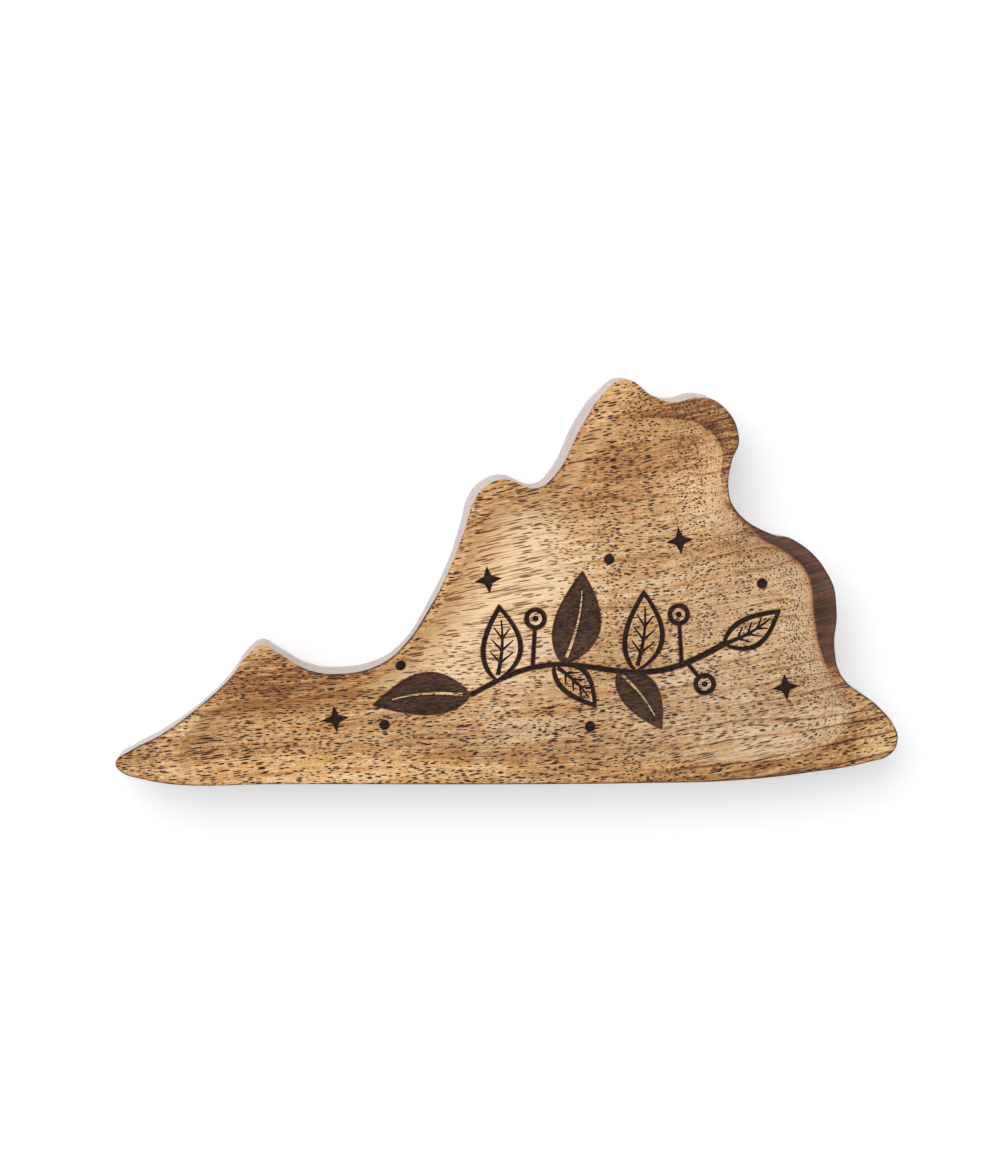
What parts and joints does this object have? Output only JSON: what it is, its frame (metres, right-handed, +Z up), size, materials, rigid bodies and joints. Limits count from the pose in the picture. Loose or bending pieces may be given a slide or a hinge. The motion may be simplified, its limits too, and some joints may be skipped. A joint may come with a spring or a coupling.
{
  "type": "trinket dish",
  "caption": "Shallow one-piece wooden trinket dish with a map-like outline, a flat rim and a routed basin with coved walls.",
  "frame": {"origin": "on the underside, below the middle of the outline's box", "axes": "+X along the straight long side towards the broad end, +Y towards the tallest peak, +Z up out of the basin"},
  "size_m": [0.127, 0.0656, 0.0127],
  "materials": {
    "oiled_wood": "oiled hardwood, satin"
  },
  "bodies": {
    "root": {"dish_body": "oiled_wood"}
  },
  "joints": []
}
